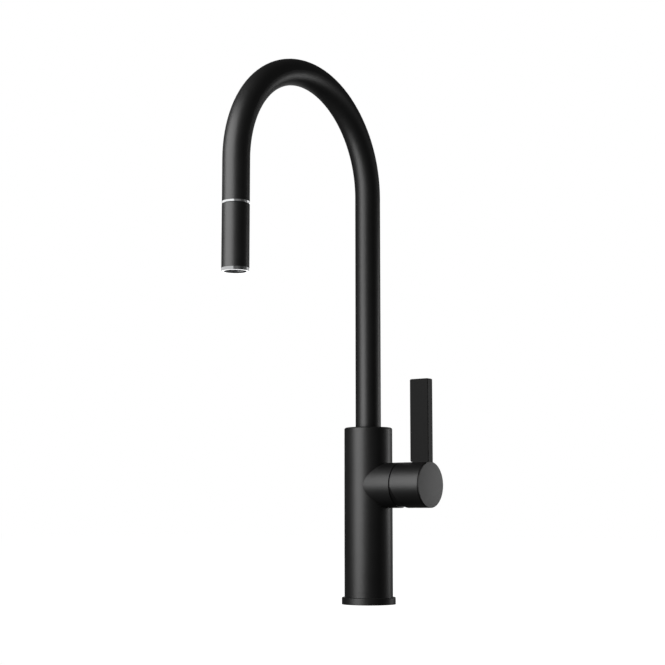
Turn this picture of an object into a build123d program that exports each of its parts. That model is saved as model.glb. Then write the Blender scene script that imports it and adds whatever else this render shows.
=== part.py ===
from build123d import *
import math
import os

# Pull-down kitchen faucet, millimetres. +Z up, origin at the centre of the base's seat on the worktop.
# The spout points along -Y and the handle along +X.

over = 1.0                  # how far a cutter runs past the face that it opens
running_gap = 0.05          # radial gap of a piece that turns in another

# Base and body
flange_r = 27.75
flange_h = 7.1
flange_break = 0.5
deck_bore_r = 18.2
gasket_r = 25.6
gasket_bore_r = 23.2
gasket_h = 1.6
body_r = 25.0
body_foot_z = 3.0
body_top = 181.3
body_edge_round = 2.0
cavity_r = 22.0
block_low = 96.0
block_high = 146.0

# Spout and its swivel bearing
tube_r = 13.25
tube_bore_r = 11.9
spring_z = 426.0
arch_r = 108.2
reach = 2 * arch_r
gland_r = 12.5
bearing_floor = 148.0
bearing_r = 19.0
foot_r = 17.0
foot_low = 150.0
foot_high = 172.0
foot_groove_r = 15.2
foot_groove_z = 163.0
foot_groove_h = 2.4
top_ring_r = 21.5
top_ring_low = 174.5
top_ring_set_down = 0.3
spanner_holes = 4
stop_half_angle = 75.0
stop_pin_r = 1.5
stop_pin_z = 153.0
stop_pin_start = 15.6
stop_pin_end = 22.5

# Side branch, cartridge and handle, on an axis along +X
axis_z = 121.2
hub_r = 23.2
branch_end = 40.7
nut_bore_r = 19.6
dome_seat_r = 21.6
dome_seat_x = 38.0
seat_x = 12.0
seal_h = 0.8
cartridge_r = 17.5
cartridge_top = 31.0
way_r = 2.6
disc_low = 15.5
disc_high = 18.7
moving_disc_high = 21.6
carrier_high = 24.4
rotor_high = 28.8
nut_high = 36.5
pivot_x = 30.0
pivot_pin_r = 1.25
pivot_pin_length = 18.4
stem_side = 6.0
stem_start = 26.5
stem_end = 62.0
dome_r = 24.4
dome_wall = 1.2
dome_hole_r = 12.5
knob_cavity_r = 24.9
knob_start = 41.7
knob_end = 75.5
relief_depth = 8.5
edge_break = 0.3
cap_start = 76.3
cap_end = 77.0
spigot_r = 18.0
spigot_start = 73.4
lever_width = 22.0
lever_thick = 9.0
lever_top = 229.0
lever_edge_round = 0.8
lever_top_round = 1.5
lever_foot_round = 2.6
tenon_low = 130.0
tenon_half_x = 7.0
tenon_half_y = 3.0
lever_screw_z = 134.5
lever_screw_r = 2.0
lever_screw_head_r = 3.5
lever_screw_head_h = 3.0
grub_x = 57.5
grub_r = 2.5
grub_low = axis_z - 13.0

# Pull-down spray head, on the line x = 0, y = -reach
ring_low = 382.4
ring_high = 384.5
spigot_top = 394.0
guide_top = 410.0
head_r = 13.25
head_top = 382.1
head_low = 321.0
sleeve_bore_r = 12.0
core_r = 11.95
core_low = 333.0
core_top = 381.8
neck_r = 10.7
chamber_r = 9.5
chamber_top = 370.0
valve_r = 7.2
end_low = 317.8
end_r = 13.0
end_opening_r = 10.7
aerator_low = 320.2
aerator_high = 328.6
seal_top = 330.0
screen_r = 14.0
screen_wall = 0.6

# Hose
hose_r = 5.5
hose_bore_r = 3.6
hose_offset = -6.2
hose_bend_r = 120.0
hose_end_z = -76.0
drawn_top = 424.8
ferrule_r = 6.5
ferrule_low = 405.0
ferrule_top = 419.0
nipple_bore_r = 3.7
nipple_low = 388.0
nipple_groove_z = 391.8

# Shank, clamp and connections under the worktop
shank_r = 16.5
thread_r = 16.0
thread_top = -12.0
shank_bore_r = 13.4
shank_low = -62.0
shank_head_h = 8.0
clamp_top = -40.0
washer_bore_r = 16.8
rubber_h = 3.0
steel_h = 2.0
nut_h = 8.0
nut_corner_r = 24.0
inlet_x = 7.5
inlet_y = 10.5
inlet_r = 4.46
inlet_depth = 11.0
outlet_x = 7.2
outlet_r = 3.6
outlet_drop = 10.0          # the cartridge's outlet lies this far below its axis
outlet_pipe_low = -84.0

pieces = {}


# Shapes used throughout

def rod(radius, low, high, x=0.0, y=0.0):
    """Upright cylinder from one height to another."""
    return Pos(x, y, (low + high) / 2) * Cylinder(radius, high - low)


def ring(outer, inner, low, high, x=0.0, y=0.0):
    """Upright ring."""
    return rod(outer, low, high, x, y) - rod(inner, low - over, high + over, x, y)


def x_rod(radius, start, end, y=0.0, z=axis_z):
    """Cylinder lying along X, on the handle's axis unless told otherwise."""
    return Pos((start + end) / 2, y, z) * Rot(0, 90, 0) * Cylinder(radius, end - start)


def x_ring(outer, inner, start, end, y=0.0, z=axis_z):
    """Ring lying along X."""
    return x_rod(outer, start, end, y, z) - x_rod(inner, start - over, end + over, y, z)


def block(x0, x1, y0, y1, z0, z1):
    """Box between two corners."""
    return Pos((x0 + x1) / 2, (y0 + y1) / 2, (z0 + z1) / 2) * Box(x1 - x0, y1 - y0, z1 - z0)


def edges_at(solid, centre_axis, place, tolerance=0.02):
    """The solid's edges that lie wholly at one place along an axis."""
    return solid.edges().filter_by_position(centre_axis, place - tolerance, place + tolerance)


def head_rod(radius, low, high):
    """Upright cylinder on the spray head's line."""
    return rod(radius, low, high, 0.0, -reach)


def head_ring(outer, inner, low, high):
    """Upright ring on the spray head's line."""
    return ring(outer, inner, low, high, 0.0, -reach)


def spout_line(start_z, end_z):
    """Centre line of the spout: straight up, half a circle forward, straight down."""
    rise = Line((0, 0, start_z), (0, 0, spring_z))
    over_the_top = ThreePointArc((0, 0, spring_z), (0, -arch_r, spring_z + arch_r), (0, -reach, spring_z))
    fall = Line((0, -reach, spring_z), (0, -reach, end_z))
    return Wire([rise, over_the_top, fall])


def hose_route():
    """Centre line of the hose below the spout: from the swivel axis over to the side of the shank."""
    points = [(0, 0, foot_low - 0.1), (0, 0, 138), (hose_offset, 0, 92), (hose_offset, 0, hose_end_z)]
    return FilletPolyline(*points, radius=hose_bend_r)


def pipe(path, radius):
    """Round bar along a path of straight runs and tangent arcs."""
    start = path @ 0
    return sweep(Plane(origin=start, z_dir=path % 0) * Circle(radius), path=path)


def wedge(start, end, low, high, reach_out=60.0, steps=8):
    """Upright wedge between two angles about the Z axis."""
    points = [(0.0, 0.0)]
    for step in range(steps + 1):
        angle = math.radians(start + (end - start) * step / steps)
        points.append((reach_out * math.cos(angle), reach_out * math.sin(angle)))
    outline = Polyline(*points, close=True)
    return Pos(0, 0, low) * extrude(make_face(outline), high - low)


# Base

def make_base_flange():
    """Escutcheon ring that the body stands in, with a gasket groove underneath."""
    solid = rod(flange_r, 0, flange_h)
    solid = chamfer(edges_at(solid, Axis.Z, flange_h), flange_break)
    solid -= rod(body_r, body_foot_z, flange_h + over)
    solid -= rod(deck_bore_r, -over, body_foot_z + over)
    return solid - ring(gasket_r, gasket_bore_r, -over, gasket_h)


def make_base_gasket():
    """Rubber ring flush in the flange's groove."""
    return ring(gasket_r, gasket_bore_r, 0, gasket_h)


def make_mixer_body():
    """Upright body: a tube round the hoses and the valve block, with the spout's bearing bore in its top."""
    solid = rod(body_r, body_foot_z, body_top)
    solid = fillet(edges_at(solid, Axis.Z, body_top), body_edge_round)
    solid -= rod(cavity_r, body_foot_z - over, block_high)
    solid -= x_rod(hub_r, 0, branch_end)
    solid -= rod(gland_r, block_high - over, bearing_floor + over)
    solid -= rod(bearing_r, bearing_floor, top_ring_low)
    solid -= rod(top_ring_r, top_ring_low, body_top + over)
    return solid - stop_pin_bar()


def make_valve_block():
    """Cast block brazed in the body: water ways, hose passage, and side branch with the cartridge bore."""
    branch = x_rod(hub_r, 0, branch_end)
    branch = chamfer(edges_at(branch, Axis.X, branch_end), edge_break)
    solid = rod(cavity_r, block_low, block_high) + branch
    solid -= pipe(hose_route(), hose_r + 0.8)
    for way in supply_ports():
        solid -= way
    solid -= x_rod(cartridge_r + 0.1, seat_x, branch_end + over)
    solid -= x_rod(nut_bore_r, cartridge_top, branch_end + over)
    return solid - x_rod(dome_seat_r, dome_seat_x, branch_end + over)


def supply_ports():
    """Tapped hot and cold inlets, and the mixed-water outlet, with their ways to the cartridge."""
    ways = []
    for side in (-1, 1):
        y = side * inlet_y
        ways.append(rod(inlet_r, block_low - over, block_low + inlet_depth, inlet_x, y))
        ways.append(rod(way_r, block_low, axis_z + way_r, inlet_x, y))
        ways.append(x_rod(way_r, inlet_x, seat_x + over, y))
    outlet_z = axis_z - outlet_drop
    ways.append(rod(outlet_r, block_low - over, outlet_z, outlet_x, 0))
    ways.append(x_rod(way_r, outlet_x, seat_x + over, 0, outlet_z))
    return ways


def stop_pin_bar():
    """Bar of the swivel stop pin, which points in from the back of the body."""
    length = stop_pin_end - stop_pin_start
    return Pos(0, stop_pin_start + length / 2, stop_pin_z) * Rot(90, 0, 0) * Cylinder(stop_pin_r, length)


def make_swivel_stop_pin():
    """Steel pin pressed in the bearing wall, which ends the spout's swivel."""
    return stop_pin_bar()


def make_bearing_sleeve():
    """Plastic cup that the spout's foot turns in."""
    solid = rod(bearing_r, bearing_floor, foot_high)
    solid -= rod(foot_r + running_gap, foot_low - running_gap, foot_high + over)
    solid -= rod(gland_r, bearing_floor - over, foot_low + over)
    return solid - stop_pin_bar()


def make_thrust_washer():
    """Low-friction washer between the foot and the top ring."""
    return ring(bearing_r, tube_r + 0.4, foot_high + running_gap, top_ring_low)


def make_body_top_ring():
    """Threaded ring that closes the body's top round the spout, with holes for a pin spanner."""
    solid = ring(top_ring_r, tube_r + 0.3, top_ring_low, body_top - top_ring_set_down)
    for turn in range(spanner_holes):
        solid -= Rot(0, 0, 360 * turn / spanner_holes) * Pos(17.6, 0, body_top) * Cylinder(1.1, 4)
    return solid


# Spout

def make_spout_tube():
    """Bent outer tube of the spout."""
    path = spout_line(foot_low, ring_high)
    return pipe(path, tube_r) - pipe(path, tube_bore_r)


def make_spout_foot():
    """Brass foot brazed round the tube, with an O-ring groove and the swivel stop's slot."""
    solid = ring(foot_r, tube_r, foot_low, foot_high)
    solid = chamfer(edges_at(solid, Axis.Z, foot_high), 0.4)
    groove_low = foot_groove_z - foot_groove_h / 2
    solid -= ring(foot_r + over, foot_groove_r, groove_low, groove_low + foot_groove_h)
    low = stop_pin_z - stop_pin_r - 0.3
    high = stop_pin_z + stop_pin_r + 0.3
    half = stop_half_angle + math.degrees((stop_pin_r + 0.15) / stop_pin_start)
    slot = ring(foot_r + over, foot_groove_r, low, high)
    kept = ring(foot_r + 2 * over, foot_groove_r - over, low - over, high + over)
    kept -= wedge(90 - half, 90 + half, low - 2 * over, high + 2 * over)
    return solid - (slot - kept)


def make_swivel_o_ring():
    """Rubber ring in the foot's groove that gives the swivel its drag."""
    section_r = 0.9
    return Pos(0, 0, foot_groove_z) * Torus(foot_groove_r + section_r, section_r)


def make_docking_ring():
    """Chrome ring at the spout's mouth, with a spigot inside the tube."""
    lip = head_ring(13.15, 11.2, ring_low, ring_high)
    lip = chamfer(edges_at(lip, Axis.Z, ring_low), 0.25)
    return lip + head_ring(tube_bore_r - 0.02, 10.9, ring_high, spigot_top)


def make_outlet_guide():
    """Plastic funnel inside the mouth that the spray head's neck seats in."""
    throat_r = 9.1
    funnel_h = 8.0
    solid = head_rod(tube_bore_r - 0.02, spigot_top, guide_top)
    solid -= Pos(0, -reach, spigot_top + funnel_h / 2) * Cone(10.6, throat_r, funnel_h + 0.02)
    return solid - head_rod(throat_r, spigot_top + funnel_h - 0.1, guide_top + over)


def make_hose_in_spout():
    """Pull-out hose where it runs inside the spout, on the spout's centre line."""
    path = spout_line(foot_low, drawn_top + 0.2)
    return pipe(path, hose_r) - pipe(path, hose_bore_r)


# Hose end and spray head

def make_pull_hose_drawn():
    """Stretch of hose above the head that comes out as the head is pulled down."""
    return head_ring(hose_r, hose_bore_r, ferrule_top, drawn_top)


def make_hose_ferrule():
    """Steel sleeve crimped on the hose's end."""
    solid = head_ring(ferrule_r, nipple_bore_r, ferrule_low, ferrule_top)
    for crimp in range(3):
        level = ferrule_low + 3.0 * (crimp + 1)
        solid -= head_ring(ferrule_r + over, ferrule_r - 0.3, level, level + 1.0)
    return solid


def make_hose_connector():
    """Brass swivel nipple that screws into the spray head's neck."""
    nipple = head_ring(6.0, nipple_bore_r, nipple_low, ferrule_low)
    collar = head_ring(6.9, nipple_bore_r, 398.0, 401.0)
    groove = head_ring(7.0, 5.1, nipple_groove_z - 0.8, nipple_groove_z + 0.8)
    return nipple + collar - groove


def make_connector_o_ring():
    """Rubber ring in the nipple's groove."""
    return Pos(0, -reach, nipple_groove_z) * Torus(5.8, 0.65)


def make_head_core():
    """Plastic waterway of the spray head, with the neck that docks in the spout."""
    shoulder = 390.5
    tip_low = 398.0
    tip_high = 404.0
    solid = head_rod(core_r, core_low, core_top) + head_rod(neck_r, core_top, shoulder)
    solid += Pos(0, -reach, (shoulder + tip_low) / 2) * Cone(10.4, 8.9, tip_low - shoulder)
    solid += head_rod(8.8, tip_low, tip_high)
    solid -= head_rod(6.55, 386.5, tip_low + 2)
    solid -= head_rod(valve_r, 396.5, tip_high + over)
    solid -= head_rod(valve_r, chamber_top - 2, 382.0)
    solid -= head_rod(5.2, 380.0, 387.0)
    return solid - head_rod(chamber_r, core_low - over, chamber_top)


def make_head_sleeve():
    """Outer metal sleeve of the spray head."""
    solid = head_rod(head_r, head_low, head_top)
    solid = fillet(edges_at(solid, Axis.Z, head_top), 0.5)
    solid = fillet(edges_at(solid, Axis.Z, head_low), 0.35)
    return solid - head_rod(sleeve_bore_r, head_low - over, head_top + over)


def make_head_top_washer():
    """Thin seal washer between the sleeve's top edge and the neck."""
    return head_ring(core_r, neck_r, core_top, head_top)


def make_check_valve():
    """Plastic non-return valve in the waterway: a shell, a spider of three arms, and a plug."""
    solid = head_ring(valve_r - 0.05, 5.2, chamber_top, 380.0)
    for angle in (0, 60, 120):
        solid += Pos(0, -reach, chamber_top + 1) * Rot(0, 0, angle) * Box(11.0, 1.2, 2.0)
    return solid + head_rod(3.2, chamber_top + 1.5, 376.0)


def make_flow_regulator():
    """Plastic flow regulator disc with an outer ring of holes."""
    holes = 10
    low = 338.0
    high = 343.0
    solid = head_rod(chamber_r - 0.1, low, high)
    for turn in range(holes):
        angle = 2 * math.pi * turn / holes
        solid -= rod(1.1, low - over, high + over, 7.0 * math.cos(angle), -reach + 7.0 * math.sin(angle))
    return solid


def make_aerator_housing():
    """Chrome end ring that screws up into the head."""
    solid = head_rod(end_r, end_low, head_low)
    solid = fillet(edges_at(solid, Axis.Z, end_low), 0.2)
    solid += head_rod(core_r, head_low, core_low)
    solid -= head_rod(end_opening_r, end_low - over, seal_top)
    return solid - head_rod(9.6, seal_top - over, core_low + over)


def make_aerator_insert():
    """Aerator cartridge: a cup whose floor has rings of outlet holes."""
    hole_r = 0.8
    hole_pitch = 2.6
    solid = head_rod(end_opening_r - 0.02, aerator_low, aerator_high)
    solid -= head_rod(9.3, aerator_low + 2.2, aerator_high + over)
    solid -= head_rod(9.6, aerator_low - over, aerator_low + 0.8)
    for circle in range(4):
        radius = circle * hole_pitch
        count = max(6 * circle, 1)
        for turn in range(count):
            angle = 2 * math.pi * turn / count
            place = (radius * math.cos(angle), -reach + radius * math.sin(angle))
            solid -= rod(hole_r, aerator_low - over, aerator_low + 3, *place)
    return solid


def make_aerator_seal():
    """Flat rubber washer above the aerator."""
    return head_ring(end_opening_r - 0.02, 8.0, aerator_high, seal_top)


def make_filter_screen():
    """Domed strainer over the aerator."""
    centre = Pos(0, -reach, seal_top - 11.0)
    solid = centre * Sphere(screen_r) - head_rod(screen_r + over, seal_top - 26, seal_top + 0.05)
    return solid - centre * Sphere(screen_r - screen_wall)


# Cartridge, on the axis along +X

def cartridge_places():
    """Where the two inlets and the outlet lie about the cartridge's axis: across and up."""
    return ((-inlet_y, 0.0), (inlet_y, 0.0), (0.0, -outlet_drop))


def cartridge_ways(start, end, radius):
    """The two inlets and the outlet, as bars through a piece of the cartridge."""
    return [x_rod(radius, start, end, y, axis_z + z) for y, z in cartridge_places()]


def make_cartridge_seals():
    """Three rubber rings under the cartridge, one at each way."""
    rings = []
    for y, z in cartridge_places():
        rings.append(x_ring(3.9, way_r, seat_x, seat_x + seal_h, y, axis_z + z))
    return Compound(rings)


def make_cartridge_housing():
    """Plastic housing of the cartridge."""
    solid = x_rod(cartridge_r, seat_x + seal_h, cartridge_top)
    solid -= x_rod(14.6, disc_low, 29.0)
    solid -= x_rod(10.2, 28.0, cartridge_top + over)
    for way in cartridge_ways(seat_x, disc_low + over, way_r):
        solid -= way
    return solid


def make_fixed_disc():
    """Fixed ceramic disc with the three ways."""
    solid = x_rod(14.55, disc_low, disc_high)
    for way in cartridge_ways(disc_low - over, disc_high + over, 2.4):
        solid -= way
    return solid


def make_moving_disc():
    """Moving ceramic disc with the mixing pocket underneath."""
    solid = x_rod(11.0, disc_high + 0.02, moving_disc_high)
    return solid - block(disc_high - over, disc_high + 1.5, -5.5, 5.5, axis_z - 8.5, axis_z + 3.5)


def make_disc_carrier():
    """Plastic carrier that the stem's inner end moves, with the moving disc under it."""
    solid = x_rod(10.6, moving_disc_high, carrier_high)
    return solid - x_rod(2.7, moving_disc_high + 0.6, carrier_high + over)


def make_cartridge_rotor():
    """Plastic rotor that turns with the handle and carries the stem's pin."""
    solid = x_rod(14.3, carrier_high + 0.2, rotor_high) + x_rod(10.0, rotor_high, 34.0)
    solid -= block(24.0, 35.0, -3.3, 3.3, axis_z - 7.0, axis_z + 7.0)
    return solid - pivot_bar(pivot_pin_r)


def pivot_bar(radius, length=pivot_pin_length):
    """Bar along Y at the stem's pivot."""
    return Pos(pivot_x, 0, axis_z) * Rot(90, 0, 0) * Cylinder(radius, length)


def make_stem_pin():
    """Steel pivot pin of the stem."""
    return pivot_bar(pivot_pin_r)


def make_cartridge_stem():
    """Brass stem: a square bar outside, a round nose in the disc carrier."""
    half = stem_side / 2
    solid = block(stem_start, stem_end, -half, half, axis_z - half, axis_z + half)
    solid += x_rod(2.1, 22.9, stem_start + 0.5)
    return solid - pivot_bar(pivot_pin_r + running_gap, pivot_pin_length + 2)


def make_cartridge_nut():
    """Brass ring nut with a hexagon that holds the cartridge down."""
    solid = x_rod(19.5, cartridge_top, nut_high)
    hexagon = extrude(RegularPolygon(17.3, 6), 3.5)
    solid += Pos(nut_high, 0, axis_z) * Rot(0, 90, 0) * hexagon
    return solid - x_rod(13.0, cartridge_top - over, nut_high + 5)


# Handle

def make_dome_cover():
    """Domed cover over the cartridge, centred on the stem's pivot, with a skirt down into the branch."""
    base = branch_end + 0.05 - pivot_x
    inner_r = dome_r - dome_wall
    outline = Wire([
        meridian(dome_r, base, dome_hole_r),
        Line(on_meridian(dome_r, dome_hole_r), on_meridian(inner_r, dome_hole_r)),
        meridian(inner_r, base, dome_hole_r),
        Line((base, math.sqrt(inner_r ** 2 - base ** 2)), (base, math.sqrt(dome_r ** 2 - base ** 2))),
    ])
    dome = Pos(pivot_x, 0, axis_z) * revolve(make_face(outline), Axis.X)
    return dome + x_ring(dome_seat_r - 0.05, 20.3, dome_seat_x + 0.2, branch_end + 0.15)


def on_meridian(radius, height):
    """Point of a circle about the origin at a height above the X axis."""
    return (math.sqrt(radius ** 2 - height ** 2), height)


def meridian(radius, start_x, end_height):
    """Arc of a circle about the origin, from a distance along X up to a height above X."""
    start = math.acos(start_x / radius)
    end = math.asin(end_height / radius)
    middle = (start + end) / 2
    ends = ((start_x, radius * math.sin(start)), on_meridian(radius, end_height))
    return ThreePointArc(ends[0], (radius * math.cos(middle), radius * math.sin(middle)), ends[1])


def make_handle_knob():
    """Round knob of the handle: hollow over the dome, relieved below so that it can tilt."""
    solid = x_rod(hub_r, knob_start, knob_end)
    solid = chamfer(edges_at(solid, Axis.X, knob_start), edge_break)
    solid = chamfer(edges_at(solid, Axis.X, knob_end), edge_break)
    solid -= relief_wedge()
    solid -= Pos(pivot_x, 0, axis_z) * Sphere(knob_cavity_r)
    half = stem_side / 2 + running_gap
    solid -= block(50, stem_end + 0.2, -half, half, axis_z - half, axis_z + half)
    solid -= block(*tenon_box(running_gap), tenon_low, axis_z + hub_r + over)
    solid -= rod(grub_r, axis_z - hub_r - over, axis_z - stem_side / 2, grub_x)
    solid -= x_rod(spigot_r, spigot_start, knob_end + over)
    return solid - lever_screw_bar()


def relief_wedge():
    """Wedge cut off the knob's inner edge, from its axis down."""
    deep = hub_r + 6.0
    out = relief_depth * deep / hub_r
    corners = [(knob_start - 5, 0), (knob_start, 0), (knob_start + out, -deep), (knob_start - 5, -deep)]
    outline = Polyline(*corners, close=True)
    face = Plane(origin=(0, 30, axis_z), x_dir=(1, 0, 0), z_dir=(0, -1, 0)) * make_face(outline)
    return extrude(face, 60)


def tenon_box(slack):
    """Plan of the lever's tenon: low x, high x, low y, high y."""
    middle = cap_end - lever_width / 2
    across = tenon_half_x + slack
    deep = tenon_half_y + slack
    return (middle - across, middle + across, -deep, deep)


def lever_screw_bar():
    """Screw that holds the lever, from behind the end cap through the tenon."""
    shank = x_rod(lever_screw_r, 56.0, spigot_start, 0, lever_screw_z)
    head_start = spigot_start - lever_screw_head_h
    return shank + x_rod(lever_screw_head_r, head_start, spigot_start, 0, lever_screw_z)


def make_lever_screw():
    """Steel screw with a hexagon socket that holds the lever."""
    socket = extrude(RegularPolygon(1.7, 6), 2.0)
    return lever_screw_bar() - Pos(spigot_start - 1.9, 0, lever_screw_z) * Rot(0, 90, 0) * socket


def make_lever_bar():
    """Flat lever that stands on the knob and the cap's rim, with a tenon down into the knob."""
    half = lever_thick / 2
    left = cap_end - lever_width
    foot = axis_z + hub_r
    bar = block(left, cap_end, -half, half, axis_z, lever_top)
    bar = fillet(edges_at(bar, Axis.Z, lever_top).filter_by(Axis.Y), lever_top_round)
    bar = fillet(edges_at(bar, Axis.Y, half) + edges_at(bar, Axis.Y, -half), lever_edge_round)
    bar -= x_rod(hub_r, left - over, cap_end + over)
    centre = Pos(left + lever_foot_round, 0, foot + lever_foot_round)
    corner = block(left - over, left + lever_foot_round, -half - over, half + over, axis_z,
                   foot + lever_foot_round)
    bar -= corner - centre * Rot(90, 0, 0) * Cylinder(lever_foot_round, 3 * lever_thick)
    return bar + block(*tenon_box(0.0), tenon_low + 0.2, foot + 2 * over) - lever_screw_bar()


def make_knob_end_cap():
    """Thin end cap with a spigot, set off from the knob by a shadow gap."""
    disc = x_rod(hub_r, cap_start, cap_end)
    disc = chamfer(edges_at(disc, Axis.X, cap_end), 0.2)
    return disc + x_rod(spigot_r - running_gap, spigot_start + 0.1, cap_start)


def make_handle_set_screw():
    """Grub screw that clamps the knob on the stem."""
    screw = rod(grub_r, grub_low, axis_z - stem_side / 2, grub_x)
    socket = Pos(grub_x, 0, grub_low) * extrude(RegularPolygon(1.45, 6), 3.0)
    return screw - socket


def make_screw_plug():
    """Small plug that hides the grub screw, under the knob."""
    foot = axis_z - hub_r + 0.3
    return rod(grub_r - running_gap, foot, foot + 3.3, grub_x)


# Under the worktop

def make_deck_shank():
    """Shank that hangs from the body's foot: a collar that centres it in the hole, and the thread."""
    head_top_z = body_foot_z + shank_head_h
    solid = rod(cavity_r, body_foot_z, head_top_z) + rod(shank_r, thread_top, body_foot_z)
    thread = rod(thread_r, shank_low, thread_top)
    solid += chamfer(edges_at(thread, Axis.Z, shank_low), 1.0)
    return solid - rod(shank_bore_r, shank_low - over, head_top_z + over)


def make_rubber_washer():
    """Rubber washer against the worktop's underside."""
    return ring(27.0, washer_bore_r, clamp_top - rubber_h, clamp_top)


def make_steel_washer():
    """Steel washer under the rubber one."""
    top = clamp_top - rubber_h
    return ring(26.5, washer_bore_r, top - steel_h, top)


def make_clamp_nut():
    """Brass hexagon nut that pulls the faucet down."""
    low = clamp_top - rubber_h - steel_h - nut_h
    hexagon = extrude(RegularPolygon(nut_corner_r, 6), nut_h)
    return Pos(0, 0, low) * hexagon - rod(thread_r + running_gap, low - over, clamp_top)


def make_hose_in_body():
    """Pull-out hose from the spout down through the body and the shank."""
    path = hose_route()
    return pipe(path, hose_r) - pipe(path, hose_bore_r)


def make_hose_coupling():
    """Brass nipple on the hose's lower end, for a quick coupling."""
    step = hose_end_z - 20.0
    groove = hose_end_z - 16.0
    solid = rod(6.4, step, hose_end_z, hose_offset) + rod(5.0, step - 12, step, hose_offset)
    solid -= ring(7.5, 5.5, groove, groove + 2, hose_offset)
    return solid - rod(hose_bore_r, step - 13, hose_end_z + over, hose_offset)


def make_coupling_o_ring():
    """Rubber ring in the nipple's groove."""
    return Pos(hose_offset, 0, hose_end_z - 15) * Torus(6.12, 0.6)


def make_outlet_pipe():
    """Stiff pipe that takes the mixed water down from the valve block."""
    return ring(outlet_r, 2.4, outlet_pipe_low, axis_z - 16, outlet_x)


def make_outlet_coupling():
    """Brass socket on the outlet pipe."""
    outer = 5.6
    grip = ring(outer, outlet_r, outlet_pipe_low, outlet_pipe_low + 14, outlet_x)
    return grip + ring(outer, 3.9, outlet_pipe_low - 16, outlet_pipe_low, outlet_x)


MAKERS = (
    make_base_flange, make_base_gasket, make_mixer_body, make_valve_block, make_swivel_stop_pin,
    make_bearing_sleeve, make_thrust_washer, make_body_top_ring, make_spout_tube, make_spout_foot,
    make_swivel_o_ring, make_docking_ring, make_outlet_guide, make_hose_in_spout,
    make_pull_hose_drawn, make_hose_ferrule, make_hose_connector, make_connector_o_ring,
    make_head_core, make_head_sleeve, make_head_top_washer, make_check_valve, make_flow_regulator,
    make_aerator_housing, make_aerator_insert, make_aerator_seal, make_filter_screen,
    make_cartridge_seals, make_cartridge_housing, make_fixed_disc, make_moving_disc,
    make_disc_carrier, make_cartridge_rotor, make_stem_pin, make_cartridge_stem,
    make_cartridge_nut, make_dome_cover, make_handle_knob, make_lever_screw, make_lever_bar,
    make_knob_end_cap, make_handle_set_screw, make_screw_plug, make_deck_shank,
    make_rubber_washer, make_steel_washer, make_clamp_nut, make_hose_in_body,
    make_hose_coupling, make_coupling_o_ring, make_outlet_pipe, make_outlet_coupling,
)

os.makedirs("parts", exist_ok=True)
for maker in MAKERS:
    name = maker.__name__[len("make_"):]
    pieces[name] = maker()
    export_step(pieces[name], "parts/" + name + ".step")

for name in ("hose_in_spout", "hose_in_body"):
    print(name, "volume", round(pieces[name].volume, 1))
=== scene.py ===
import math

import bmesh
import bpy
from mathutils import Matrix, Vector


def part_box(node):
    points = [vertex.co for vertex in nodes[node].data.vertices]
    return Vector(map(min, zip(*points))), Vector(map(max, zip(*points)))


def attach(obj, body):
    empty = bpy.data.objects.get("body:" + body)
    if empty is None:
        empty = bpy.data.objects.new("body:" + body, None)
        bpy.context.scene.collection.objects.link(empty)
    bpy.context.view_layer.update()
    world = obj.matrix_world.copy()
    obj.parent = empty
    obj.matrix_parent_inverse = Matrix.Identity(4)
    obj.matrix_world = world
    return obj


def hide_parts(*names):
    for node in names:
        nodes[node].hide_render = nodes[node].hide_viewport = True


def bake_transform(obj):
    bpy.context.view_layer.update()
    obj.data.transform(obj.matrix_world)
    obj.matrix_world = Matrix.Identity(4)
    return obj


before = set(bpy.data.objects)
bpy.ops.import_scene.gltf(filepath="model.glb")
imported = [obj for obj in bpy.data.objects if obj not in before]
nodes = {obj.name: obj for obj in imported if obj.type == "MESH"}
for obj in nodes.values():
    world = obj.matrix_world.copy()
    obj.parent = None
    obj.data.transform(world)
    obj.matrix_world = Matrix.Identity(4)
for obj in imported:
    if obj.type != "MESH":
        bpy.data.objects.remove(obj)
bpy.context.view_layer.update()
scene = bpy.context.scene

MM = 0.001


def middle(name):
    """Middle of a node's box at rest."""
    low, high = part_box(name)
    return (low + high) / 2


# ---------------------------------------------------------------- camera

CAMERA_AZIMUTH = 35.085
CAMERA_DISTANCE = 1.53987
CAMERA_HEIGHT = 0.09019
LOOK_AZIMUTH = 36.476
LOOK_UP = 7.09
CAMERA_LENS = 79.75


def direction(azimuth, elevation):
    """Unit vector from the object: azimuth 0 is -Y, 90 is +X."""
    a = math.radians(azimuth)
    e = math.radians(elevation)
    return Vector((math.sin(a) * math.cos(e), -math.cos(a) * math.cos(e), math.sin(e)))


def make_camera():
    data = bpy.data.cameras.new("camera")
    data.lens = CAMERA_LENS
    data.sensor_width = 36.0
    data.clip_start = 0.05
    data.clip_end = 40.0
    camera = bpy.data.objects.new("camera", data)
    scene.collection.objects.link(camera)
    place = direction(CAMERA_AZIMUTH, 0) * CAMERA_DISTANCE
    camera.location = (place.x, place.y, CAMERA_HEIGHT)
    look = -direction(LOOK_AZIMUTH, -LOOK_UP)
    camera.rotation_mode = "QUATERNION"
    camera.rotation_quaternion = look.to_track_quat("-Z", "Y")
    scene.camera = camera


# ---------------------------------------------------------------- light and floor

CHROMED = ("docking_ring", "aerator_housing")
HUB = ("valve_block", "dome_cover", "handle_knob")
CAP = ("knob_end_cap",)
LEVER = ("lever_bar",)

# Upright lines that the lamps stand round: between the body and the head, the head's own, the end cap's
LAMP_LINE = Vector((0.0, -0.08, 0.0))
WAND_LINE = Vector((0.0, middle("head_sleeve").y, 0.0))
CAP_LINE = Vector((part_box("knob_end_cap")[1].x, 0.0, 0.0))


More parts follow.
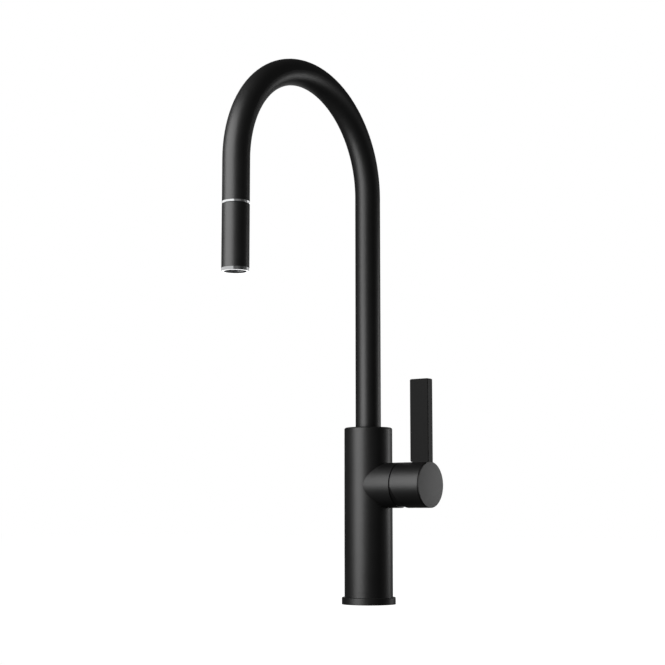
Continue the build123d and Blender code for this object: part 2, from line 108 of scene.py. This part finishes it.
def area_light(name, line, azimuth, distance, centre_height, aim_height, width, height, radiance):
    """Soft box beside an upright line, at an azimuth measured from the camera's, of a given radiance."""
    data = bpy.data.lights.new(name, "AREA")
    data.shape = "RECTANGLE"
    data.size = width
    data.size_y = height
    data.energy = radiance * math.pi * width * height
    lamp = bpy.data.objects.new(name, data)
    scene.collection.objects.link(lamp)
    place = line + direction(CAMERA_AZIMUTH + azimuth, 0) * distance
    lamp.location = (place.x, place.y, centre_height)
    facing = line + Vector((0, 0, aim_height)) - lamp.location
    lamp.rotation_mode = "QUATERNION"
    lamp.rotation_quaternion = facing.to_track_quat("-Z", "Y")
    lamp.visible_camera = False
    return lamp


def restrict(lamp, names, state):
    """Let a lamp reach only some nodes (INCLUDE), or all but some nodes (EXCLUDE)."""
    receivers = bpy.data.collections.new(lamp.name + "_receivers")
    for name in names:
        receivers.objects.link(nodes[name])
    lamp.light_linking.receiver_collection = receivers
    for entry in receivers.collection_objects:
        entry.light_linking.link_state = state


def key_light(name, centre_height, height, radiance):
    """Tall soft box to the left. Its copies for some nodes differ in height and strength only."""
    return area_light(name, LAMP_LINE, azimuth=-49.4, distance=0.40, centre_height=centre_height,
                      aim_height=0.29, width=0.39, height=height, radiance=radiance)


def chrome_card(name, azimuth, distance, centre_height, width, height, radiance):
    """Reflector card round the spray head, which only the chrome sees."""
    card = area_light(name, WAND_LINE, azimuth, distance, centre_height, 0.32, width, height, radiance)
    restrict(card, CHROMED, "INCLUDE")


def make_lights():
    restrict(key_light("key_softbox", 0.34, 0.83, 5.0), CHROMED + HUB + LEVER, "EXCLUDE")
    restrict(key_light("hub_key", 0.345, 0.59, 6.3), HUB, "INCLUDE")
    restrict(key_light("lever_key", 0.34, 0.83, 1.5), LEVER, "INCLUDE")
    rim = area_light("rim_strip", LAMP_LINE, azimuth=116.5, distance=1.27, centre_height=0.25,
                     aim_height=0.2, width=0.072, height=0.55, radiance=19.0)
    restrict(rim, CHROMED + CAP, "EXCLUDE")
    cap_strip = area_light("cap_strip", CAP_LINE, azimuth=116.5, distance=0.12, centre_height=0.124,
                           aim_height=0.121, width=0.007, height=0.085, radiance=16.0)
    restrict(cap_strip, CAP, "INCLUDE")
    area_light("back_fill", LAMP_LINE, azimuth=172, distance=1.5, centre_height=0.45,
               aim_height=0.25, width=1.2, height=1.0, radiance=0.45)
    chrome_card("left_card", -80, 0.40, 0.35, 2.00, 0.8, 1.10)
    chrome_card("front_card", 9, 0.60, 0.35, 0.38, 0.8, 0.08)
    chrome_card("soft_front_card", 17, 0.60, 0.35, 0.64, 0.8, 0.08)
    chrome_card("side_card", 96, 0.40, 0.35, 0.28, 0.8, 0.09)
    chrome_card("right_card", 136, 0.40, 0.35, 0.32, 0.8, 0.95)
    chrome_card("back_card", 180, 1.00, 0.15, 0.80, 0.5, 2.00)


DIM_WORLD = 0.057            # strength of the surroundings that the faucet reflects
FLOOR_SIZE = 8.0
FLOOR_LEVEL = -0.3 * MM      # just under the foot ring
FLOOR_GLOW = 0.985


def make_world():
    """White to the camera, dim grey to everything that it lights."""
    world = bpy.data.worlds.new("studio")
    scene.world = world
    world.use_nodes = True
    tree = world.node_tree
    tree.nodes.clear()
    out = tree.nodes.new("ShaderNodeOutputWorld")
    mix = tree.nodes.new("ShaderNodeMixShader")
    dim = tree.nodes.new("ShaderNodeBackground")
    dim.inputs["Color"].default_value = (1, 1, 1, 1)
    dim.inputs["Strength"].default_value = DIM_WORLD
    white = tree.nodes.new("ShaderNodeBackground")
    white.inputs["Color"].default_value = (1, 1, 1, 1)
    white.inputs["Strength"].default_value = 1.0
    rays = tree.nodes.new("ShaderNodeLightPath")
    tree.links.new(rays.outputs["Is Camera Ray"], mix.inputs["Fac"])
    tree.links.new(dim.outputs[0], mix.inputs[1])
    tree.links.new(white.outputs[0], mix.inputs[2])
    tree.links.new(mix.outputs[0], out.inputs["Surface"])


def make_floor():
    """Evenly lit white floor that neither lights nor shades the faucet."""
    bpy.ops.mesh.primitive_plane_add(size=FLOOR_SIZE, location=(0, 0, FLOOR_LEVEL))
    floor = bpy.context.object
    floor.name = "worktop_floor"
    floor.visible_glossy = False
    floor.visible_diffuse = False
    floor.visible_shadow = False
    material = bpy.data.materials.new("pale_floor")
    material.use_nodes = True
    shader = material.node_tree.nodes["Principled BSDF"]
    shader.inputs["Base Color"].default_value = (0.3, 0.3, 0.3, 1)
    shader.inputs["Roughness"].default_value = 0.9
    shader.inputs["Specular IOR Level"].default_value = 0.0
    shader.inputs["Emission Color"].default_value = (1, 1, 1, 1)
    shader.inputs["Emission Strength"].default_value = FLOOR_GLOW
    floor.data.materials.append(material)


# ---------------------------------------------------------------- shader groups

def new_group(name, inputs, outputs):
    """Empty shader group with float inputs (name, default) and outputs (name, socket type)."""
    group = bpy.data.node_groups.new(name, "ShaderNodeTree")
    for label, value in inputs:
        socket = group.interface.new_socket(label, in_out="INPUT", socket_type="NodeSocketFloat")
        socket.default_value = value
    for label, kind in outputs:
        group.interface.new_socket(label, in_out="OUTPUT", socket_type=kind)
    return group


class Tree:
    """Small helper that adds nodes to a tree and links them."""

    def __init__(self, tree):
        self.tree = tree

    def add(self, kind, **settings):
        node = self.tree.nodes.new(kind)
        for key, value in settings.items():
            setattr(node, key, value)
        return node

    def link(self, output, node_input):
        self.tree.links.new(output, node_input)

    def math(self, operation, first, second=None):
        """Result of an operation on one or two values, each a number or an output."""
        node = self.add("ShaderNodeMath", operation=operation)
        for index, value in enumerate((first, second)):
            if value is None:
                continue
            if isinstance(value, (int, float)):
                node.inputs[index].default_value = value
            else:
                self.link(value, node.inputs[index])
        return node.outputs[0]

    def noise(self, vector, scale, detail, rough):
        """Noise texture's value at a vector, for a scale that is a number or an output."""
        node = self.add("ShaderNodeTexNoise")
        self.link(vector, node.inputs["Vector"])
        if isinstance(scale, (int, float)):
            node.inputs["Scale"].default_value = scale
        else:
            self.link(scale, node.inputs["Scale"])
        node.inputs["Detail"].default_value = detail
        node.inputs["Roughness"].default_value = rough
        return node.outputs["Fac"]

    def remap(self, value, low, high, to_low, to_high):
        """Value mapped from one range of numbers to another."""
        node = self.add("ShaderNodeMapRange")
        self.link(value, node.inputs["Value"])
        node.inputs["From Min"].default_value = low
        node.inputs["From Max"].default_value = high
        node.inputs["To Min"].default_value = to_low
        node.inputs["To Max"].default_value = to_high
        return node.outputs["Result"]


def grain_group():
    """Fine grain of a coating or a moulded surface: a height and a slow mottling."""
    group = new_group("surface_grain", [("Grains per metre", 3000.0), ("Mottle per metre", 60.0)],
                      [("Height", "NodeSocketFloat"), ("Mottle", "NodeSocketFloat")])
    t = Tree(group)
    given = t.add("NodeGroupInput")
    out = t.add("NodeGroupOutput")
    place = t.add("ShaderNodeTexCoord").outputs["Object"]
    fine = t.noise(place, given.outputs["Grains per metre"], 3.0, 0.6)
    coarse = t.noise(place, t.math("MULTIPLY", given.outputs["Grains per metre"], 0.35), 2.0, 0.5)
    height = t.math("ADD", t.math("MULTIPLY", fine, 0.7), t.math("MULTIPLY", coarse, 0.3))
    t.link(height, out.inputs["Height"])
    t.link(t.noise(place, given.outputs["Mottle per metre"], 4.0, 0.55), out.inputs["Mottle"])
    return group


def turning_group():
    """Fine rings that a lathe leaves round an axis along X or Z, as a height."""
    group = new_group("turning_marks", [("Rings per metre", 2500.0), ("Along X", 0.0)],
                      [("Height", "NodeSocketFloat"), ("Shade", "NodeSocketFloat")])
    t = Tree(group)
    given = t.add("NodeGroupInput")
    out = t.add("NodeGroupOutput")
    place = t.add("ShaderNodeSeparateXYZ")
    t.link(t.add("ShaderNodeTexCoord").outputs["Object"], place.inputs[0])
    upright = t.math("SUBTRACT", 1.0, given.outputs["Along X"])
    along = t.math("ADD", t.math("MULTIPLY", place.outputs["X"], given.outputs["Along X"]),
                   t.math("MULTIPLY", place.outputs["Z"], upright))
    row = t.add("ShaderNodeCombineXYZ")
    t.link(t.math("MULTIPLY", along, given.outputs["Rings per metre"]), row.inputs["X"])
    marks = t.noise(row.outputs[0], 1.0, 3.0, 0.7)
    t.link(marks, out.inputs["Height"])
    slow = t.noise(row.outputs[0], 0.08, 2.0, 0.5)
    t.link(slow, out.inputs["Shade"])
    return group


def braid_group():
    """Crossing strands of a braid round an upright line: a height and a strand mask."""
    inputs = [("Middle X", 0.0), ("Middle Y", 0.0), ("Strands", 16.0), ("Turns per metre", 60.0)]
    group = new_group("braid", inputs, [("Height", "NodeSocketFloat"), ("Over", "NodeSocketFloat")])
    t = Tree(group)
    given = t.add("NodeGroupInput")
    out = t.add("NodeGroupOutput")
    place = t.add("ShaderNodeSeparateXYZ")
    t.link(t.add("ShaderNodeTexCoord").outputs["Object"], place.inputs[0])
    dx = t.math("SUBTRACT", place.outputs["X"], given.outputs["Middle X"])
    dy = t.math("SUBTRACT", place.outputs["Y"], given.outputs["Middle Y"])
    turn = t.math("DIVIDE", t.math("ARCTAN2", dy, dx), 2 * math.pi)
    around = t.math("MULTIPLY", turn, given.outputs["Strands"])
    steepness = t.math("MULTIPLY", given.outputs["Turns per metre"], given.outputs["Strands"])
    climb = t.math("MULTIPLY", place.outputs["Z"], steepness)
    left = t.math("ADD", around, climb)
    right = t.math("SUBTRACT", around, climb)

    def strand(run):
        part = t.math("FRACT", run)
        off = t.math("ABSOLUTE", t.math("SUBTRACT", part, 0.5))
        return t.math("SUBTRACT", 1.0, t.math("MULTIPLY", t.math("MULTIPLY", off, off), 4.0))

    crossing = t.math("ADD", t.math("FLOOR", left), t.math("FLOOR", right))
    over = t.math("ABSOLUTE", t.math("MODULO", crossing, 2.0))
    one = t.math("MULTIPLY", strand(left), over)
    two = t.math("MULTIPLY", strand(right), t.math("SUBTRACT", 1.0, over))
    t.link(t.math("ADD", one, two), out.inputs["Height"])
    t.link(over, out.inputs["Over"])
    return group


GRAIN = grain_group()
TURNING = turning_group()
BRAID = braid_group()


# ---------------------------------------------------------------- materials

def start_material(name, metallic, specular=0.5):
    """New material, with a helper for its tree and its shader."""
    material = bpy.data.materials.new(name)
    material.use_nodes = True
    t = Tree(material.node_tree)
    shader = material.node_tree.nodes["Principled BSDF"]
    shader.inputs["Metallic"].default_value = metallic
    shader.inputs["Specular IOR Level"].default_value = specular
    return material, t, shader


def place_group(t, group, **values):
    """Group node in a tree, with its inputs given by name, spaces written as underscores."""
    node = t.add("ShaderNodeGroup", node_tree=group)
    for label, value in values.items():
        node.inputs[label.replace("_", " ")].default_value = value
    return node


def blend_colours(t, factor, low, high, shader):
    """Base colour that runs from low to high as the factor goes from 0 to 1."""
    ramp = t.add("ShaderNodeMix", data_type="RGBA")
    t.link(factor, ramp.inputs["Factor"])
    ramp.inputs["A"].default_value = (*low, 1)
    ramp.inputs["B"].default_value = (*high, 1)
    t.link(ramp.outputs["Result"], shader.inputs["Base Color"])


def add_bump(t, height, shader, strength, depth):
    bump = t.add("ShaderNodeBump")
    bump.inputs["Strength"].default_value = strength
    bump.inputs["Distance"].default_value = depth
    t.link(height, bump.inputs["Height"])
    t.link(bump.outputs["Normal"], shader.inputs["Normal"])


HOSE_IN_BODY_X = -6.2 * MM   # the hose runs down beside the middle of the body
NOISE_LOW = 0.3              # nearly all of a noise texture's values lie between these two
NOISE_HIGH = 0.7


def stretch(t, value, low=0.0, high=1.0):
    """A noise value, mapped to the range from low to high."""
    return t.remap(value, NOISE_LOW, NOISE_HIGH, low, high)


def grainy(name, low, high, rough_low, rough_high, grains, strength, depth,
           metallic=0.0, specular=0.5, mottle=60.0):
    """Material with a fine grain and a slow change of shade and roughness."""
    material, t, shader = start_material(name, metallic, specular)
    grain = place_group(t, GRAIN, Grains_per_metre=grains, Mottle_per_metre=mottle)
    blend_colours(t, stretch(t, grain.outputs["Mottle"]), low, high, shader)
    t.link(stretch(t, grain.outputs["Height"], rough_low, rough_high), shader.inputs["Roughness"])
    add_bump(t, grain.outputs["Height"], shader, strength, depth)
    return material


def turned(name, low, high, rough_low, rough_high, along_x=0.0, rings=2500.0):
    """Metal with lathe marks, round an upright axis or, with along_x of 1, one along X."""
    material, t, shader = start_material(name, 1.0)
    marks = place_group(t, TURNING, Rings_per_metre=rings, Along_X=along_x)
    grain = place_group(t, GRAIN, Grains_per_metre=1500.0, Mottle_per_metre=40.0)
    blend_colours(t, stretch(t, grain.outputs["Mottle"]), low, high, shader)
    t.link(stretch(t, marks.outputs["Shade"], rough_low, rough_high), shader.inputs["Roughness"])
    add_bump(t, marks.outputs["Height"], shader, 0.3, 0.02 * MM)
    return material


def braided(name, middle_x, middle_y):
    """Woven nylon sleeve of a hose, round an upright line."""
    material, t, shader = start_material(name, 0.0, 0.5)
    braid = place_group(t, BRAID, Middle_X=middle_x, Middle_Y=middle_y, Strands=18.0,
                        Turns_per_metre=22.0)
    # Base colour follows the strand height: light on the strand crests, dark at their edges and in the
    # gaps, which is painted shade along the weave.
    blend_colours(t, braid.outputs["Height"], (0.01, 0.01, 0.011), (0.12, 0.12, 0.125), shader)
    t.link(t.remap(braid.outputs["Over"], 0.0, 1.0, 0.38, 0.5), shader.inputs["Roughness"])
    add_bump(t, braid.outputs["Height"], shader, 0.8, 0.4 * MM)
    return material


def make_materials():
    brass_dark = (0.62, 0.42, 0.17)
    brass_light = (0.74, 0.53, 0.25)
    return {
        "coat": grainy("matte_black_coat", (0.002, 0.002, 0.002), (0.004, 0.004, 0.004), 0.40, 0.49,
                       grains=2600.0, strength=0.75, depth=0.06 * MM),
        "lever_coat": grainy("matte_black_lever", (0.004, 0.004, 0.004), (0.006, 0.006, 0.006), 0.58, 0.66,
                             grains=2600.0, strength=0.4, depth=0.05 * MM, specular=0.45),
        "chrome": grainy("polished_chrome", (0.72, 0.73, 0.74), (0.78, 0.79, 0.8), 0.10, 0.16,
                         grains=900.0, strength=0.05, depth=0.01 * MM, metallic=1.0, mottle=25.0),
        "end_chrome": grainy("satin_chrome", (0.40, 0.405, 0.41), (0.46, 0.465, 0.47), 0.12, 0.2,
                             grains=900.0, strength=0.05, depth=0.01 * MM, metallic=1.0, mottle=25.0),
        "brass": turned("turned_brass", brass_dark, brass_light, 0.22, 0.36),
        "brass_x": turned("turned_brass_sideways", brass_dark, brass_light, 0.22, 0.36, along_x=1.0),
        "steel": turned("stainless_steel", (0.48, 0.48, 0.49), (0.58, 0.58, 0.59), 0.24, 0.4,
                        rings=1800.0),
        "rubber": grainy("moulded_rubber", (0.012, 0.012, 0.012), (0.022, 0.022, 0.022), 0.6, 0.78,
                         grains=1600.0, strength=0.4, depth=0.08 * MM),
        "white": grainy("natural_acetal", (0.66, 0.66, 0.62), (0.74, 0.74, 0.7), 0.32, 0.46,
                        grains=1200.0, strength=0.15, depth=0.03 * MM),
        "grey": grainy("grey_moulding", (0.2, 0.21, 0.22), (0.26, 0.27, 0.28), 0.38, 0.52,
                       grains=1500.0, strength=0.2, depth=0.04 * MM),
        "black": grainy("black_moulding", (0.016, 0.016, 0.017), (0.024, 0.024, 0.025), 0.3, 0.44,
                        grains=1500.0, strength=0.2, depth=0.04 * MM),
        "ceramic": grainy("lapped_ceramic", (0.72, 0.7, 0.63), (0.8, 0.78, 0.72), 0.12, 0.2,
                          grains=800.0, strength=0.05, depth=0.01 * MM),
        "braid_out": braided("braided_sleeve_outlet", 0.0, middle("head_sleeve").y),
        "braid_in": braided("braided_sleeve_body", HOSE_IN_BODY_X, 0.0),
    }


FINISH = {
    "coat": ["base_flange", "mixer_body", "body_top_ring", "spout_tube", "head_sleeve", "handle_knob",
             "valve_block", "dome_cover", "knob_end_cap"],
    "lever_coat": ["lever_bar"],
    "chrome": ["docking_ring"],
    "end_chrome": ["aerator_housing"],
    "brass": ["deck_shank", "clamp_nut", "spout_foot", "hose_connector", "hose_coupling",
              "outlet_coupling"],
    "brass_x": ["cartridge_nut", "cartridge_stem"],
    "steel": ["steel_washer", "swivel_stop_pin", "stem_pin", "lever_screw", "handle_set_screw",
              "hose_ferrule", "outlet_pipe", "filter_screen"],
    "rubber": ["base_gasket", "rubber_washer", "swivel_o_ring", "connector_o_ring", "coupling_o_ring",
               "cartridge_seals", "aerator_seal", "head_top_washer", "screw_plug"],
    "white": ["bearing_sleeve", "thrust_washer", "outlet_guide", "cartridge_rotor", "disc_carrier",
              "check_valve", "flow_regulator"],
    "grey": ["cartridge_housing"],
    "black": ["head_core", "aerator_insert"],
    "ceramic": ["fixed_disc", "moving_disc"],
    "braid_out": ["pull_hose_drawn"],
    "braid_in": ["hose_in_body", "hose_in_spout"],
}


def finish_nodes(materials):
    for finish, names in FINISH.items():
        for name in names:
            mesh = nodes[name].data
            mesh.materials.clear()
            mesh.materials.append(materials[finish])


# ---------------------------------------------------------------- detailed pieces

def mesh_object(name, build, material, body):
    """Object from a function that fills a bmesh, finished, riding on a body."""
    mesh = bpy.data.meshes.new(name)
    shape = bmesh.new()
    build(shape)
    bmesh.ops.recalc_face_normals(shape, faces=shape.faces)
    shape.to_mesh(mesh)
    shape.free()
    mesh.materials.append(material)
    piece = bpy.data.objects.new(name, mesh)
    scene.collection.objects.link(piece)
    if body:
        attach(piece, body)
    return piece


def lathe(shape, rows, segments, centre=(0.0, 0.0)):
    """Closed surface of revolution. Each row has a height, and a radius or a function of the angle."""
    rings = []
    for height, radius in rows:
        points = []
        for index in range(segments):
            angle = 2 * math.pi * index / segments
            r = radius(angle) if callable(radius) else radius
            x = centre[0] + r * math.cos(angle)
            y = centre[1] + r * math.sin(angle)
            points.append(shape.verts.new((x, y, height)))
        rings.append(points)
    for first, second in zip(rings, rings[1:] + rings[:1]):
        for index in range(segments):
            after = (index + 1) % segments
            shape.faces.new((first[index], first[after], second[after], second[index]))


def smooth(piece, angle=35.0):
    """Shade smooth, but keep edges sharper than an angle."""
    for face in piece.data.polygons:
        face.use_smooth = True
    piece.data.set_sharp_from_angle(angle=math.radians(angle))


THREAD_PITCH = 1.5 * MM
THREAD_DEPTH = 0.85 * MM
THREAD_R = 16.0 * MM
THREAD_TOP = -12.0 * MM
THREAD_ROWS = 7              # rows of the mesh in each turn of the thread
FLANK_SLOPE = 2.4            # 2 would be a sharp root; more leaves the root flat
COLLAR_R = 16.5 * MM
COLLAR_BREAK = 0.3 * MM
SHANK_BORE_R = 13.4 * MM
SHANK_BREAK = 0.4 * MM
SHANK_FLANGE_LOW = 3.0 * MM
SHANK_SEGMENTS = 72


def thread_radius(height, low, high):
    """Radius, as a function of the angle, of a thread that fades out near its two ends."""
    fade = max(0.0, min(1.0, (height - low) / THREAD_PITCH, (high - height) / THREAD_PITCH))

    def radius(angle):
        turn = (height / THREAD_PITCH - angle / (2 * math.pi)) % 1.0
        flank = min(1.0, FLANK_SLOPE * abs(turn - 0.5))
        return THREAD_R - THREAD_DEPTH * (1.0 - (1.0 - flank) * fade)

    return radius


def make_threaded_shank(material):
    """Shank with a cut thread below its centring collar."""
    low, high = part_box("deck_shank")
    flange_r = high.x
    start = low.z + 1.0 * MM
    steps = int((THREAD_TOP - start) / THREAD_PITCH * THREAD_ROWS)

    def build(shape):
        rows = [(low.z, SHANK_BORE_R + SHANK_BREAK), (low.z, THREAD_R - THREAD_DEPTH - SHANK_BREAK)]
        for step in range(steps + 1):
            height = start + (THREAD_TOP - start) * step / steps
            rows.append((height, thread_radius(height, start, THREAD_TOP)))
        rows += [(THREAD_TOP, COLLAR_R - COLLAR_BREAK), (THREAD_TOP + COLLAR_BREAK, COLLAR_R),
                 (SHANK_FLANGE_LOW, COLLAR_R), (SHANK_FLANGE_LOW, flange_r), (high.z, flange_r),
                 (high.z, SHANK_BORE_R), (low.z + SHANK_BREAK, SHANK_BORE_R)]
        lathe(shape, rows, SHANK_SEGMENTS)

    piece = mesh_object("threaded_shank", build, material, "base")
    smooth(piece)
    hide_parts("deck_shank")


NUT_CHAMFER_STEPS = 5
NUT_CHAMFER_ANGLE = 30.0
NUT_FACE_BREAK = 0.3 * MM
NUT_BORE_CHAMFER = 0.8 * MM
NUT_SEGMENTS = 144


def make_chamfered_nut(material):
    """Backnut: a hexagon with its corners turned off, and a chamfered bore."""
    low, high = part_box("clamp_nut")
    corner_r = high.x
    flat_r = corner_r * math.cos(math.pi / 6)
    bore_r = THREAD_R + 0.05 * MM
    mouth_r = bore_r + NUT_BORE_CHAMFER

    def hexagon(limit):
        def radius(angle):
            off = (angle + math.pi / 6) % (math.pi / 3) - math.pi / 6
            return min(flat_r / math.cos(off), limit)
        return radius

    def build(shape):
        parts = [step / NUT_CHAMFER_STEPS for step in range(NUT_CHAMFER_STEPS + 1)]
        drop = (corner_r - flat_r) * math.tan(math.radians(NUT_CHAMFER_ANGLE))
        face_r = flat_r - NUT_FACE_BREAK
        rows = [(low.z, mouth_r), (low.z, face_r)]
        for part in parts:
            rows.append((low.z + drop * part, hexagon(flat_r + (corner_r - flat_r) * part)))
        for part in reversed(parts):
            rows.append((high.z - drop * part, hexagon(flat_r + (corner_r - flat_r) * part)))
        rows += [(high.z, face_r), (high.z, mouth_r), (high.z - NUT_BORE_CHAMFER, bore_r),
                 (low.z + NUT_BORE_CHAMFER, bore_r)]
        lathe(shape, rows, NUT_SEGMENTS)

    piece = mesh_object("chamfered_backnut", build, material, "clamp")
    smooth(piece, 20.0)
    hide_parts("clamp_nut")


HOSE_BORE_R = 3.6 * MM
HOSE_STEPS = 90
HOSE_SEGMENTS = 40


def make_drawn_hose(material):
    """Braided hose between the spout and the spray head, as a tube in the drawn hose's place."""
    low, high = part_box("pull_hose_drawn")
    centre = ((low.x + high.x) / 2, (low.y + high.y) / 2)
    outer = (high.x - low.x) / 2

    def build(shape):
        heights = [low.z + (high.z - low.z) * step / HOSE_STEPS for step in range(HOSE_STEPS + 1)]
        rows = [(height, outer) for height in heights]
        rows += [(height, HOSE_BORE_R) for height in reversed(heights)]
        lathe(shape, rows, HOSE_SEGMENTS, centre)

    piece = mesh_object("drawn_hose", build, material, None)
    smooth(piece)
    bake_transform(piece)
    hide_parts("pull_hose_drawn")


SCREEN_RIM_R = 9.5 * MM
SCREEN_RIM_WIDTH = 0.7 * MM
SCREEN_PITCH = 1.55 * MM
SCREEN_RIB = 0.28 * MM
SCREEN_THICK = 0.5 * MM
SCREEN_RISE = 0.15 * MM      # from the aerator insert's lower face up to the screen's
SCREEN_SEGMENTS = 72


def make_aerator_screen(material):
    """Honeycomb screen in the mouth of the aerator, with a rim."""
    low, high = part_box("aerator_insert")
    centre = ((low.x + high.x) / 2, (low.y + high.y) / 2)
    level = low.z + SCREEN_RISE
    top = level + SCREEN_THICK
    inside_r = SCREEN_RIM_R - SCREEN_RIM_WIDTH
    furthest = SCREEN_RIM_R - 0.45 * SCREEN_PITCH

    def hexagon(shape, x, y, across):
        corner = across / math.sqrt(3)
        points = []
        for side in range(6):
            angle = math.radians(60 * side + 30)
            place = (x + corner * math.cos(angle), y + corner * math.sin(angle), level)
            points.append(shape.verts.new(place))
        return points

    def build(shape):
        reach = int(SCREEN_RIM_R / SCREEN_PITCH) + 1
        for row in range(-reach - 1, reach + 2):
            for column in range(-reach - 1, reach + 2):
                x = (column + 0.5 * (row % 2)) * SCREEN_PITCH
                y = row * SCREEN_PITCH * math.sqrt(3) / 2
                if math.hypot(x, y) > furthest:
                    continue
                outer = hexagon(shape, centre[0] + x, centre[1] + y, SCREEN_PITCH)
                inner = hexagon(shape, centre[0] + x, centre[1] + y, SCREEN_PITCH - SCREEN_RIB)
                for side in range(6):
                    after = (side + 1) % 6
                    shape.faces.new((outer[side], outer[after], inner[after], inner[side]))
        bmesh.ops.remove_doubles(shape, verts=shape.verts, dist=0.02 * MM)
        solid = bmesh.ops.extrude_face_region(shape, geom=list(shape.faces))
        moved = [part for part in solid["geom"] if isinstance(part, bmesh.types.BMVert)]
        bmesh.ops.translate(shape, verts=moved, vec=(0, 0, SCREEN_THICK))
        rows = [(level, inside_r), (level, SCREEN_RIM_R), (top, SCREEN_RIM_R), (top, inside_r)]
        lathe(shape, rows, SCREEN_SEGMENTS, centre)

    mesh_object("aerator_screen", build, material, "spray_head")


def make_pieces(materials):
    make_threaded_shank(materials["brass"])
    make_chamfered_nut(materials["brass"])
    make_drawn_hose(materials["braid_out"])
    make_aerator_screen(materials["grey"])


make_camera()
make_world()
make_lights()
make_floor()
scene.view_settings.view_transform = "Standard"
MATERIALS = make_materials()
finish_nodes(MATERIALS)
make_pieces(MATERIALS)
